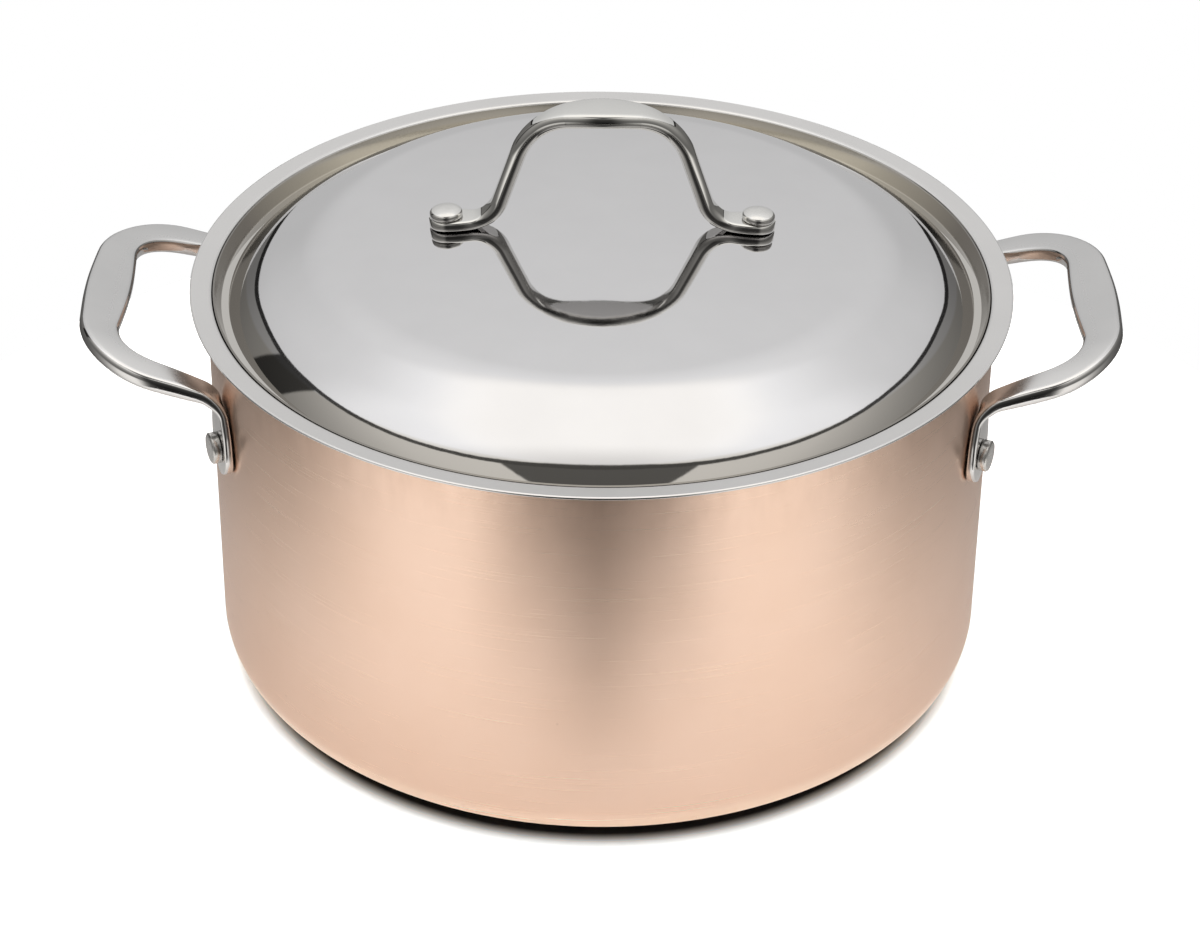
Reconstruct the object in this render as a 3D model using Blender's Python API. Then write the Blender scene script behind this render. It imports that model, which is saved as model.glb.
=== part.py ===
"""A clad stockpot with a domed lid: copper over aluminium over steel.

Metres, +Z up. The origin is the centre of the base, on the surface the pot stands on.
The side handles stand out along +X and -X. The lid lifts straight up along the pot's axis.
"""
import math

import bmesh
import bpy
from mathutils import Matrix, Vector

# Pot: height, bore and the three bonded layers
POT_HEIGHT = 0.1480
BORE_RADIUS = 0.1400
LINER_WALL = 0.0006
CORE_WALL = 0.0005
CORE_BASE = 0.0020
SHELL_WALL = 0.0006
BASE_CORNER_RADIUS = 0.0140

# Flared pouring lip
LIP_REACH = 0.0060
LIP_THICKNESS = 0.0011
LIP_SLOPE = math.radians(5.0)
LIP_FILLET = 0.0020
LIP_EDGE_ROUND = 0.0002

# Clearance between touching pieces, and round a rivet in its hole
FIT = 0.0003
HOLE_CLEARANCE = 0.0003

# Lid, from the rim inwards: collar, flat ledge, skirt, cone, shoulder and crown
LID_SHEET = 0.0007
COLLAR_TOP_DROP = 0.0009
LEDGE_DEPTH = 0.0063
LEDGE_INSET = 0.0028
LEDGE_WIDTH = 0.0026
SKIRT_STEEPEST = math.radians(45.0)
SKIRT_RADIUS = 0.0765
CONE_WIDTH = 0.0100
SHOULDER_STEEPEST = math.radians(29.5)
SHOULDER_RADIUS = 0.0314
CROWN_SPHERE_RADIUS = 1.0000

# Lid handle: a strap loop along X with two round feet
LID_RIVET_SPAN = 0.1112
LID_FOOT_WIDTH = 0.0125
LID_FOOT_THICKNESS = 0.0040
LID_HANDLE_HEIGHT = 0.0470
LID_LEG_FOOT_SPAN = 0.0784
LID_LEG_TOP_SPAN = 0.0514
LID_STRAP_THICKNESS = 0.0058
LID_NECK_WIDTH = 0.0090
LID_LEG_WIDTH = 0.0080
LID_GRIP_WIDTH = 0.0165
LID_FOOT_BEND = 0.0125
LID_SHOULDER_BEND = 0.0230
LID_GRIP_ARCH = 0.0850
LID_GRIP_SLOPE = math.radians(9.0)
LID_FOOT_ROUND = 0.0010
LID_GRIP_ROUND = 0.0024

# Lid rivets
LID_HEAD_RADIUS = 0.0059
LID_HEAD_BARREL = 0.0012
LID_HEAD_DOME = 0.0022
LID_SHANK_RADIUS = 0.0025
LID_TAIL_RADIUS = 0.0042
LID_TAIL_HEIGHT = 0.0012

# Side handles: a flat loop, tilted upwards away from the wall
FEET_SPAN = 0.1066
FOOT_SPLAY = math.radians(6.0)
FOOT_WIDTH = 0.0155
FOOT_TIP = 0.0105
FOOT_THICKNESS = 0.0032
FOOT_ROUND = 0.0009
RIVET_DROP = 0.0412
GRIP_DISTANCE = 0.0367
GRIP_DROP = 0.0058
LOOP_HALF_SPAN = 0.0470
LOOP_TILT = math.radians(16.4)
LOOP_THICKNESS = 0.0061
LOOP_ROUND = 0.0020
NECK_WIDTH = 0.0102
LEG_WIDTH = 0.0132
LOOP_CORNER_WIDTH = 0.0124
GRIP_WIDTH = 0.0168
FOOT_BEND = 0.0095
LOOP_CORNER = 0.0260

# Side handle rivets
HEAD_RADIUS = 0.00565
HEAD_HEIGHT = 0.0031
HEAD_CHAMFER = 0.0005
SHANK_RADIUS = 0.0030
TAIL_RADIUS = 0.0050
TAIL_HEIGHT = 0.0015

# A rivet's tail, as shares of its radius and height from the seat inwards
TAIL_DOME = ((1.0, 0.3), (0.8, 0.8), (0.4, 1.0))

# How far a drill reaches past the pieces that it pierces
DRILL_MARGIN = 0.0030

# Points nearer than this are the same point
TOUCHING = 1e-6

# Faces that meet at less than this are shaded as one surface
SMOOTH_ANGLE = math.radians(35.0)

# Largest share of a strap's half width or half thickness that its edge round takes
EDGE_LIMIT = 0.9

# Fineness of the meshes
POT_STEPS = 64
RIVET_STEPS = 20
CORNER_STEPS = 4
CROWN_STEPS = 3
BEND_STEPS = 6
EDGE_STEPS = 2
DOME_STEPS = 4
TONGUE_STEPS = 4
TONGUE_FIRST = math.radians(14.0)

# Sizes that follow from the ones above
LINER_OUTER = BORE_RADIUS + LINER_WALL
CORE_INNER = LINER_OUTER + FIT
CORE_OUTER = CORE_INNER + CORE_WALL
SHELL_INNER = CORE_OUTER + FIT
WALL_RADIUS = SHELL_INNER + SHELL_WALL
LIP_RADIUS = WALL_RADIUS + LIP_REACH
CORE_FLOOR = SHELL_WALL + FIT
LINER_FLOOR = CORE_FLOOR + CORE_BASE + FIT
CORNER_CENTRE_RADIUS = WALL_RADIUS - BASE_CORNER_RADIUS
FOOT_AZIMUTH = math.asin(FEET_SPAN / 2 / WALL_RADIUS)


def clear_scene():
    for old in list(bpy.data.objects):
        bpy.data.objects.remove(old, do_unlink=True)


def metal(name, colour, roughness):
    made = bpy.data.materials.new(name)
    made.use_nodes = True
    shader = made.node_tree.nodes["Principled BSDF"]
    shader.inputs["Base Color"].default_value = (*colour, 1.0)
    shader.inputs["Metallic"].default_value = 1.0
    shader.inputs["Roughness"].default_value = roughness
    made.diffuse_color = (*colour, 1.0)
    return made


def finish_object(name, mesh_builder, material):
    """Turn a bmesh into a named object with outward faces and smooth rounds."""
    bmesh.ops.recalc_face_normals(mesh_builder, faces=mesh_builder.faces)
    mesh = bpy.data.meshes.new(name)
    mesh_builder.to_mesh(mesh)
    mesh_builder.free()
    mesh.materials.append(material)
    mesh.shade_smooth()
    mesh.set_sharp_from_angle(angle=SMOOTH_ANGLE)
    made = bpy.data.objects.new(name, mesh)
    bpy.context.scene.collection.objects.link(made)
    return made


def turned(name, profile, steps, material):
    """Spin a profile of (radius, height) points, which runs from axis to axis."""
    builder = bmesh.new()
    points = [builder.verts.new((radius, 0.0, height)) for radius, height in profile]
    edges = [builder.edges.new(pair) for pair in zip(points, points[1:])]
    bmesh.ops.spin(
        builder, geom=points + edges, cent=(0, 0, 0), axis=(0, 0, 1),
        angle=math.tau, steps=steps, use_merge=True,
    )
    bmesh.ops.remove_doubles(builder, verts=builder.verts, dist=TOUCHING)
    return finish_object(name, builder, material)


def arc(centre, radius, start, end, steps):
    """Points on an arc in the profile plane, both ends included."""
    angles = [start + (end - start) * step / steps for step in range(steps + 1)]
    return [
        (centre[0] + radius * math.cos(angle), centre[1] + radius * math.sin(angle))
        for angle in angles
    ]


def offset_profile(profile, distance):
    """The same open profile, moved to the right of its direction of travel."""
    moved = []
    last = len(profile) - 1
    for index, (radius, height) in enumerate(profile):
        before = Vector(profile[max(index - 1, 0)])
        here = Vector((radius, height))
        after = Vector(profile[min(index + 1, last)])
        arriving = (here - before).normalized() if index > 0 else (after - here).normalized()
        leaving = (after - here).normalized() if index < last else arriving
        side_in = Vector((arriving.y, -arriving.x))
        side_out = Vector((leaving.y, -leaving.x))
        middle = (side_in + side_out).normalized()
        moved.append(tuple(here + middle * distance / middle.dot(side_in)))
    return moved


# Pot layers

def corner_down(wall_radius, floor):
    """From a straight wall, down and round to the flat floor."""
    round_radius = wall_radius - CORNER_CENTRE_RADIUS
    centre = (CORNER_CENTRE_RADIUS, floor + round_radius)
    return arc(centre, round_radius, 0.0, -math.pi / 2, CORNER_STEPS)


def lip_height(radius):
    """Height of the lip's upper face at a radius."""
    return POT_HEIGHT - (LIP_RADIUS - radius) * math.tan(LIP_SLOPE)


def lip_fillet_centre():
    """Centre of the round between the bore and the lip."""
    radius = BORE_RADIUS + LIP_FILLET
    return (radius, lip_height(radius) - LIP_FILLET / math.cos(LIP_SLOPE))


def under_lip(radius):
    return lip_height(radius) - LIP_THICKNESS / math.cos(LIP_SLOPE)


def liner_profile():
    inside = corner_down(BORE_RADIUS, LINER_FLOOR + LINER_WALL)[::-1]
    fillet = arc(lip_fillet_centre(), LIP_FILLET, math.pi, math.pi / 2 + LIP_SLOPE, CORNER_STEPS)
    edge = LIP_RADIUS - LIP_EDGE_ROUND
    rim = [
        (edge, lip_height(edge)),
        (LIP_RADIUS, POT_HEIGHT - LIP_EDGE_ROUND),
        (LIP_RADIUS, under_lip(LIP_RADIUS) + LIP_EDGE_ROUND),
        (edge, under_lip(edge)),
    ]
    round_radius = SHELL_INNER - LINER_OUTER
    under_centre = (SHELL_INNER, under_lip(SHELL_INNER) - round_radius)
    under = arc(under_centre, round_radius, math.pi / 2, math.pi, CORNER_STEPS)
    outside = corner_down(LINER_OUTER, LINER_FLOOR)
    floor = LINER_FLOOR + LINER_WALL
    return [(0.0, floor)] + inside + fillet + rim + under + outside + [(0.0, LINER_FLOOR)]


def cup_profile(inner, inner_floor, outer, outer_floor, top):
    inside = corner_down(inner, inner_floor)[::-1]
    outside = corner_down(outer, outer_floor)
    rim = [(inner, top), (outer, top)]
    return [(0.0, inner_floor)] + inside + rim + outside + [(0.0, outer_floor)]


def rivet_hole(name, frame, radius, low, high):
    """A drill for a Boolean, standing on a frame whose Z is the rivet's axis."""
    drill = turned(
        name, [(0.0, high), (radius, high), (radius, low), (0.0, low)], RIVET_STEPS, STEEL_SATIN
    )
    drill.matrix_world = frame
    drill.hide_render = True
    drill.display_type = "WIRE"
    return drill


def drill_through(target, drill):
    cut = target.modifiers.new(drill.name, "BOOLEAN")
    cut.operation = "DIFFERENCE"
    cut.solver = "EXACT"
    cut.object = drill


# Bent straps

def rounded_route(corners, bends, steps):
    """Points, directions and progress along straight runs joined by round bends.

    Progress is 0 at the first corner, 1 at the second, and so on.
    """
    route = [(corners[0], (corners[1] - corners[0]).normalized(), 0.0)]
    for index in range(1, len(corners) - 1):
        here = corners[index]
        arriving = (here - corners[index - 1]).normalized()
        leaving = (corners[index + 1] - here).normalized()
        turn = arriving.angle(leaving)
        reach = bends[index - 1] * math.tan(turn / 2)
        inward = (leaving - arriving).normalized()
        centre = here + inward * bends[index - 1] / math.cos(turn / 2)
        spoke = here - arriving * reach - centre
        axis = arriving.cross(leaving).normalized()
        run_in = reach / (here - corners[index - 1]).length
        run_out = reach / (corners[index + 1] - here).length
        for step in range(steps + 1):
            share = step / steps
            turned_by = Matrix.Rotation(turn * share, 3, axis)
            past_corner = 2 * share - 1
            progress = index + past_corner * (run_in if past_corner < 0 else run_out)
            route.append((centre + turned_by @ spoke, turned_by @ arriving, progress))
    route.append((corners[-1], leaving, float(len(corners) - 1)))
    return route


def eased(table, progress):
    """Smoothly read a value from a table of (progress, value) rows."""
    for (start, low), (end, high) in zip(table, table[1:]):
        if progress <= end:
            share = min(max((progress - start) / (end - start), 0.0), 1.0)
            return low + (high - low) * share * share * (3 - 2 * share)
    return table[-1][1]


def strap_section(centre, across, normal, width, thickness, edge_round):
    """Points round a flat bar whose four edges are rounded."""
    half_width = width / 2
    half_thick = thickness / 2
    cut = min(edge_round, half_width * EDGE_LIMIT, half_thick * EDGE_LIMIT)
    points = []
    for quarter, (side, level) in enumerate(((1, 1), (-1, 1), (-1, -1), (1, -1))):
        for step in range(EDGE_STEPS + 1):
            angle = math.pi / 2 * (quarter + step / EDGE_STEPS)
            out = side * (half_width - cut) + cut * math.cos(angle)
            rise = level * (half_thick - cut) + cut * math.sin(angle)
            points.append(centre + across * out + normal * rise)
    return points


def loft(name, sections, material):
    """Skin a row of sections and cap both ends."""
    builder = bmesh.new()
    rings = [[builder.verts.new(point) for point in section] for section in sections]
    count = len(rings[0])
    for ring, following in zip(rings, rings[1:]):
        for index in range(count):
            after = (index + 1) % count
            builder.faces.new((ring[index], ring[after], following[after], following[index]))
    builder.faces.new(rings[0][::-1])
    builder.faces.new(rings[-1])
    return finish_object(name, builder, material)


def tongue_stations(centre, direction, radius):
    """Centres and widths of the half round that ends a strap, from the tip inwards."""
    stations = []
    for step in range(TONGUE_STEPS):
        angle = TONGUE_FIRST + (math.pi / 2 - TONGUE_FIRST) * step / TONGUE_STEPS
        back = radius * math.cos(angle)
        stations.append((centre - direction * back, 2 * radius * math.sin(angle)))
    return stations


# Side handles

def side_handle_corners(outward, sideways):
    """Tongue centre, foot bend, loop corner and grip middle of one half, on the centreline."""
    standoff = WALL_RADIUS + FIT + FOOT_THICKNESS / 2
    rivet = outward * standoff + Vector((0.0, 0.0, POT_HEIGHT - RIVET_DROP))
    lean = Vector((0.0, 0.0, 1.0)) - sideways * math.tan(FOOT_SPLAY)
    grip_x = WALL_RADIUS + GRIP_DISTANCE
    grip_z = POT_HEIGHT - GRIP_DROP - LOOP_THICKNESS / 2
    rise = grip_z - (grip_x - rivet.x) * math.tan(LOOP_TILT) - rivet.z
    return [
        rivet - lean.normalized() * (FOOT_TIP - FOOT_WIDTH / 2),
        rivet + lean * rise,
        Vector((grip_x, LOOP_HALF_SPAN, grip_z)),
        Vector((grip_x, 0.0, grip_z)),
    ]


def side_handle_half():
    """Sections from the tip of one foot to the middle of the grip."""
    outward = Vector((math.cos(FOOT_AZIMUTH), math.sin(FOOT_AZIMUTH), 0.0))
    sideways = Vector((0.0, 0.0, 1.0)).cross(outward)
    corners = side_handle_corners(outward, sideways)
    route = rounded_route(corners, [FOOT_BEND, LOOP_CORNER], BEND_STEPS)
    loop_normal = Vector((-math.sin(LOOP_TILT), 0.0, math.cos(LOOP_TILT)))
    along_foot = route[0][1]
    foot_across = outward.cross(-along_foot)
    # Each row is the progress along the route and the size there
    widths = [(0.0, FOOT_WIDTH), (0.3, FOOT_WIDTH), (1.05, NECK_WIDTH), (1.6, LEG_WIDTH),
              (2.0, LOOP_CORNER_WIDTH), (3.0, GRIP_WIDTH)]
    depths = [(0.0, FOOT_THICKNESS), (0.7, FOOT_THICKNESS), (1.4, LOOP_THICKNESS),
              (3.0, LOOP_THICKNESS)]
    rounds = [(0.0, FOOT_ROUND), (0.6, FOOT_ROUND), (1.4, LOOP_ROUND), (3.0, LOOP_ROUND)]
    twists = [(0.6, 0.0), (1.3, 1.0)]
    sections = []
    for centre, width in tongue_stations(corners[0], along_foot, FOOT_WIDTH / 2):
        sections.append(
            strap_section(centre, foot_across, -outward, width, FOOT_THICKNESS, FOOT_ROUND)
        )
    for centre, direction, progress in route:
        wanted = foot_across.lerp(loop_normal.cross(direction), eased(twists, progress))
        across = (wanted - direction * wanted.dot(direction)).normalized()
        normal = direction.cross(across)
        sections.append(strap_section(
            centre, across, normal, eased(widths, progress), eased(depths, progress),
            eased(rounds, progress),
        ))
    return sections


def side_handle(name, turn, material):
    """One half and its mirror image across Y, skinned as one strap and turned to its side."""
    half = side_handle_half()
    mirrored = []
    for section in reversed(half[:-1]):
        mirrored.append([Vector((point.x, -point.y, point.z)) for point in section])
    made = loft(name, half + mirrored, material)
    made.rotation_euler = (0.0, 0.0, turn)
    return made


# Lid

def slope_arc(start, start_slope, end_slope, radius):
    """Walk outwards and down from a point while the slope changes along a round."""
    points = []
    for step in range(1, CORNER_STEPS + 1):
        slope = start_slope + (end_slope - start_slope) * step / CORNER_STEPS
        out = radius * (math.sin(slope) - math.sin(start_slope))
        drop = radius * (math.cos(start_slope) - math.cos(slope))
        points.append((start[0] + out, start[1] - drop))
    return points


def crown_edge():
    """Radius, height and slope where the shallow crown meets the shoulder."""
    radius = BORE_RADIUS - LEDGE_INSET - LEDGE_WIDTH - CONE_WIDTH
    radius -= SKIRT_RADIUS * (math.sin(SKIRT_STEEPEST) - math.sin(SHOULDER_STEEPEST))
    sine = radius - SHOULDER_RADIUS * math.sin(SHOULDER_STEEPEST)
    sine /= CROWN_SPHERE_RADIUS - SHOULDER_RADIUS
    slope = math.asin(sine)
    height = POT_HEIGHT - LEDGE_DEPTH + CONE_WIDTH * math.tan(SHOULDER_STEEPEST)
    height += SKIRT_RADIUS * (math.cos(SHOULDER_STEEPEST) - math.cos(SKIRT_STEEPEST))
    height += SHOULDER_RADIUS * (math.cos(slope) - math.cos(SHOULDER_STEEPEST))
    return CROWN_SPHERE_RADIUS * sine, height, slope


def crown_height(radius):
    """Height of the crown's upper face at a radius."""
    edge_radius, edge_height, slope = crown_edge()
    centre = edge_height - CROWN_SPHERE_RADIUS * math.cos(slope)
    return centre + math.sqrt(CROWN_SPHERE_RADIUS ** 2 - radius ** 2)


def collar_top():
    """Top inner corner of the collar, which leans out until it rests on the lip's round."""
    corner = Vector((BORE_RADIUS - LEDGE_INSET, POT_HEIGHT - LEDGE_DEPTH))
    to_centre = Vector(lip_fillet_centre()) - corner
    keep_off = LIP_FILLET + FIT + LID_SHEET
    lean = math.atan2(to_centre.y, to_centre.x) + math.asin(keep_off / to_centre.length)
    rise = LEDGE_DEPTH - COLLAR_TOP_DROP
    return (corner.x + rise / math.tan(lean), corner.y + rise)


def lid_profile():
    edge_radius, edge_height, slope = crown_edge()
    upper = [(0.0, crown_height(0.0))]
    for step in range(1, CROWN_STEPS + 1):
        radius = edge_radius * step / CROWN_STEPS
        upper.append((radius, crown_height(radius)))
    upper += slope_arc(upper[-1], slope, SHOULDER_STEEPEST, SHOULDER_RADIUS)
    cone_radius, cone_height = upper[-1]
    cone_height -= CONE_WIDTH * math.tan(SHOULDER_STEEPEST)
    upper.append((cone_radius + CONE_WIDTH, cone_height))
    upper += slope_arc(upper[-1], SHOULDER_STEEPEST, SKIRT_STEEPEST, SKIRT_RADIUS)
    upper.append((BORE_RADIUS - LEDGE_INSET, POT_HEIGHT - LEDGE_DEPTH))
    upper.append(collar_top())
    lower = offset_profile(upper, LID_SHEET)
    lower[0] = (0.0, lower[0][1])
    return upper + lower[::-1]


def lid_foot_frame(side):
    """Frame on the crown at a lid rivet: origin on the upper face, Z square to it."""
    radius = LID_RIVET_SPAN / 2
    tilt = side * math.asin(radius / CROWN_SPHERE_RADIUS)
    place = Matrix.Translation((side * radius, 0.0, crown_height(radius)))
    return place @ Matrix.Rotation(tilt, 4, "Y")


def lid_handle(name, material):
    frame = lid_foot_frame(1)
    seat = FIT + LID_FOOT_THICKNESS / 2
    rivet = frame @ Vector((0.0, 0.0, seat))
    along = (frame.to_3x3() @ Vector((-1.0, 0.0, 0.0))).normalized()
    base = rivet + along * (rivet.x - LID_LEG_FOOT_SPAN / 2) / -along.x
    top = crown_height(0.0) + LID_HANDLE_HEIGHT - LID_STRAP_THICKNESS / 2
    peak = Vector((0.0, 0.0, top + LID_GRIP_ARCH * (1 / math.cos(LID_GRIP_SLOPE) - 1)))
    shoulder_x = LID_LEG_TOP_SPAN / 2
    shoulder_z = peak.z - shoulder_x * math.tan(LID_GRIP_SLOPE)
    route = rounded_route(
        [rivet, base, Vector((shoulder_x, 0.0, shoulder_z)), peak,
         Vector((-shoulder_x, 0.0, shoulder_z))],
        [LID_FOOT_BEND, LID_SHOULDER_BEND, LID_GRIP_ARCH], BEND_STEPS,
    )
    middle = next(index for index, station in enumerate(route) if station[0].x < TOUCHING)
    # Each row is the progress along the route and the size there
    widths = [(0.0, LID_FOOT_WIDTH), (0.15, LID_FOOT_WIDTH), (1.0, LID_NECK_WIDTH),
              (1.4, LID_LEG_WIDTH), (1.85, LID_LEG_WIDTH), (3.0, LID_GRIP_WIDTH)]
    depths = [(0.0, LID_FOOT_THICKNESS), (0.6, LID_FOOT_THICKNESS),
              (1.2, LID_STRAP_THICKNESS), (3.0, LID_STRAP_THICKNESS)]
    rounds = [(0.0, LID_FOOT_ROUND), (0.6, LID_FOOT_ROUND), (1.3, LID_GRIP_ROUND),
              (3.0, LID_GRIP_ROUND)]
    across = Vector((0.0, 1.0, 0.0))
    half = []
    for centre, width in tongue_stations(rivet, along, LID_FOOT_WIDTH / 2):
        half.append(strap_section(
            centre, across, along.cross(across), width, LID_FOOT_THICKNESS, LID_FOOT_ROUND
        ))
    for centre, direction, progress in route[:middle + 1]:
        half.append(strap_section(
            centre, across, direction.cross(across), eased(widths, progress),
            eased(depths, progress), eased(rounds, progress),
        ))
    mirrored = []
    for section in reversed(half[:-1]):
        mirrored.append([Vector((-point.x, point.y, point.z)) for point in section])
    return loft(name, half + mirrored, material)


# Rivets

def rivet_tail(seat, radius, height):
    """Profile of a low tail, from the edge of its seat to the axis."""
    tail = [(radius, seat)]
    tail += [(radius * out, seat - height * down) for out, down in TAIL_DOME]
    return tail + [(0.0, seat - height)]


def inner_seat(radius, half_width):
    """Distance from the pot's axis to a flat head that clears the faceted bore."""
    flat = radius * math.cos(math.pi / POT_STEPS)
    return math.sqrt(flat ** 2 - half_width ** 2) - FIT


def side_rivet(name, azimuth, material):
    """Flat head outside the foot, shank through foot and wall, low tail in the bore."""
    foot_face = WALL_RADIUS + FIT + FOOT_THICKNESS
    head_seat = foot_face + FIT
    head_face = head_seat + HEAD_HEIGHT
    tail_seat = inner_seat(BORE_RADIUS, TAIL_RADIUS)
    profile = [
        (0.0, head_face),
        (HEAD_RADIUS - HEAD_CHAMFER, head_face),
        (HEAD_RADIUS, head_face - HEAD_CHAMFER),
        (HEAD_RADIUS, head_seat),
        (SHANK_RADIUS, head_seat),
        (SHANK_RADIUS, tail_seat),
    ]
    profile += rivet_tail(tail_seat, TAIL_RADIUS, TAIL_HEIGHT)
    made = turned(name, profile, RIVET_STEPS, material)
    made.matrix_world = rivet_frame(azimuth)
    return made


def rivet_frame(azimuth):
    """Frame on the pot's axis at rivet height, with Z pointing out through the rivet."""
    height = Matrix.Translation((0.0, 0.0, POT_HEIGHT - RIVET_DROP))
    return height @ Matrix.Rotation(azimuth, 4, "Z") @ Matrix.Rotation(math.pi / 2, 4, "Y")


def lid_rivet(name, side, material):
    """Domed head over the foot, shank through foot and lid, low tail under the lid."""
    head_seat = FIT + LID_FOOT_THICKNESS + FIT
    tail_seat = -LID_SHEET - FIT
    shoulder = head_seat + LID_HEAD_BARREL
    profile = [(0.0, shoulder + LID_HEAD_DOME)]
    for step in range(1, DOME_STEPS + 1):
        angle = math.pi / 2 * step / DOME_STEPS
        rise = LID_HEAD_DOME * math.cos(angle)
        profile.append((LID_HEAD_RADIUS * math.sin(angle), shoulder + rise))
    profile += [
        (LID_HEAD_RADIUS, head_seat),
        (LID_SHANK_RADIUS, head_seat),
        (LID_SHANK_RADIUS, tail_seat),
    ]
    profile += rivet_tail(tail_seat, LID_TAIL_RADIUS, LID_TAIL_HEIGHT)
    made = turned(name, profile, RIVET_STEPS, material)
    made.matrix_world = lid_foot_frame(side)
    return made


clear_scene()

COPPER = metal("brushed copper", (0.88, 0.63, 0.50), 0.34)
STEEL_SATIN = metal("satin stainless steel", (0.62, 0.61, 0.59), 0.30)
STEEL_POLISHED = metal("polished stainless steel", (0.64, 0.63, 0.61), 0.10)
ALUMINIUM = metal("aluminium", (0.75, 0.75, 0.76), 0.40)

# The pot's three layers, one inside the other
liner = turned("steel_liner", liner_profile(), POT_STEPS, STEEL_SATIN)
shell_top = under_lip(SHELL_INNER) - FIT
core_top = shell_top - (SHELL_INNER - LINER_OUTER) - FIT
core = turned(
    "aluminium_core",
    cup_profile(CORE_INNER, CORE_FLOOR + CORE_BASE, CORE_OUTER, CORE_FLOOR, core_top),
    POT_STEPS, ALUMINIUM,
)
shell = turned(
    "copper_shell", cup_profile(SHELL_INNER, SHELL_WALL, WALL_RADIUS, 0.0, shell_top),
    POT_STEPS, COPPER,
)

# Side handles, with a rivet and its holes at each foot
handles = {
    "right": side_handle("right_side_handle", 0.0, STEEL_SATIN),
    "left": side_handle("left_side_handle", math.pi, STEEL_SATIN),
}
feet = {
    "right_front": -FOOT_AZIMUTH,
    "right_rear": FOOT_AZIMUTH,
    "left_front": math.pi + FOOT_AZIMUTH,
    "left_rear": math.pi - FOOT_AZIMUTH,
}
for place, azimuth in feet.items():
    side_rivet(place + "_rivet", azimuth, STEEL_SATIN)
    drill = rivet_hole(
        place + "_drill", rivet_frame(azimuth), SHANK_RADIUS + HOLE_CLEARANCE,
        BORE_RADIUS - DRILL_MARGIN, WALL_RADIUS + FOOT_THICKNESS + DRILL_MARGIN,
    )
    for pierced in (liner, core, shell, handles[place.split("_")[0]]):
        drill_through(pierced, drill)

# Lid with its handle and rivets, all carried by the empty on the lifting axis
lid_carrier = bpy.data.objects.new("lid_carrier", None)
bpy.context.scene.collection.objects.link(lid_carrier)
lid_dome = turned("lid_dome", lid_profile(), POT_STEPS, STEEL_POLISHED)
lid_loop = lid_handle("lid_handle", STEEL_POLISHED)
lid_dome.parent = lid_carrier
lid_loop.parent = lid_carrier
for side, place in ((-1, "left"), (1, "right")):
    drill = rivet_hole(
        "lid_" + place + "_drill", lid_foot_frame(side), LID_SHANK_RADIUS + HOLE_CLEARANCE,
        -LID_SHEET - DRILL_MARGIN, LID_FOOT_THICKNESS + DRILL_MARGIN,
    )
    drill_through(lid_dome, drill)
    drill_through(lid_loop, drill)
    lid_rivet("lid_" + place + "_rivet", side, STEEL_POLISHED).parent = lid_carrier
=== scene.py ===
# %% [markdown]
# # A clad stockpot with a domed lid
#
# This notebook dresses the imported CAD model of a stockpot. The pot is copper outside and
# stainless steel inside, with two riveted side loops and a mirror-bright lid that lifts off.
# The CAD nodes already have the right sizes, but few faces, so every piece that shows is
# modelled again here, finer, at the same place and the same size.
#
# Lengths are in metres, Z is up, and the pot stands on the origin.

# %% Load the frame
import math

import bmesh
import bpy
from mathutils import Matrix, Vector


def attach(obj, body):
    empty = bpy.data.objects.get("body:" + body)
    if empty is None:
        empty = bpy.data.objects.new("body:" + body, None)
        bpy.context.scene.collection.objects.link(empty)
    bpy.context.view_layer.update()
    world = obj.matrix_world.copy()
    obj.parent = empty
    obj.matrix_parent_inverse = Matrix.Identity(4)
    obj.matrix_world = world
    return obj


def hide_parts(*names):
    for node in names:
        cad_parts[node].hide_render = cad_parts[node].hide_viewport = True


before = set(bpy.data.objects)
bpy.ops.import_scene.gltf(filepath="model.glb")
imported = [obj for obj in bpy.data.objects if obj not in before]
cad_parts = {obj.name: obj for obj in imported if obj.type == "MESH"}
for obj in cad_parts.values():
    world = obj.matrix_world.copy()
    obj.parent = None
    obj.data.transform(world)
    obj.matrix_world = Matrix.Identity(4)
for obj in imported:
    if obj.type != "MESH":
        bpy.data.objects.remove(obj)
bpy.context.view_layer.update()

# %% [markdown]
# ## Shared sizes
#
# The three layers of the wall sit one inside the other. A pot maker gives the bore first,
# because the lid has to fit it, and the wall thickness outwards from there. The same values
# are used in the CAD source, so the fine pieces land on the coarse ones.

# %% Sizes of pot, lip and lid seat
MM = 0.001
POT_HEIGHT = 148.0 * MM
BORE = 140.0 * MM
LINER_OUTSIDE = 140.6 * MM
SHELL_INSIDE = 141.7 * MM
WALL = 142.3 * MM
LIP_EDGE = 148.3 * MM
LIP_THICKNESS = 1.1 * MM
LIP_RISE = math.tan(math.radians(5.0))
LIP_ROUND = 2.0 * MM
LINER_UNDERSIDE = 3.2 * MM
LINER_FLOOR = 3.8 * MM
CORNER_CENTRE = 128.3 * MM
GAP = 0.3 * MM
print("bore", BORE * 2, "m, outside of the wall", WALL * 2, "m")

# %% [markdown]
# ## Turning round pieces
#
# Pot, lid and rivets are round, so each one is drawn as half a section and spun about its
# axis, as sheet is spun or pressed on a lathe. The section starts as a small plane that is
# merged to one point. That point is extruded from corner to corner, and the spin operator
# sweeps the line all the way round. Points on the axis fall together and are merged.

# %% Lines of a section
def bend(centre, radius, start, end, steps):
    """Points on a round of the section, angles in degrees, both ends included."""
    points = []
    for step in range(steps + 1):
        angle = math.radians(start + (end - start) * step / steps)
        points.append((centre[0] + radius * math.cos(angle), centre[1] + radius * math.sin(angle)))
    return points


def straight(start, end, steps):
    """Points between two corners, without the corners themselves."""
    return [
        tuple(a + (b - a) * step / steps for a, b in zip(start, end)) for step in range(1, steps)
    ]


def line_to(section, end, steps):
    """Points from the last one of a section up to and including a corner."""
    return straight(section[-1], end, steps) + [end]


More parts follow.
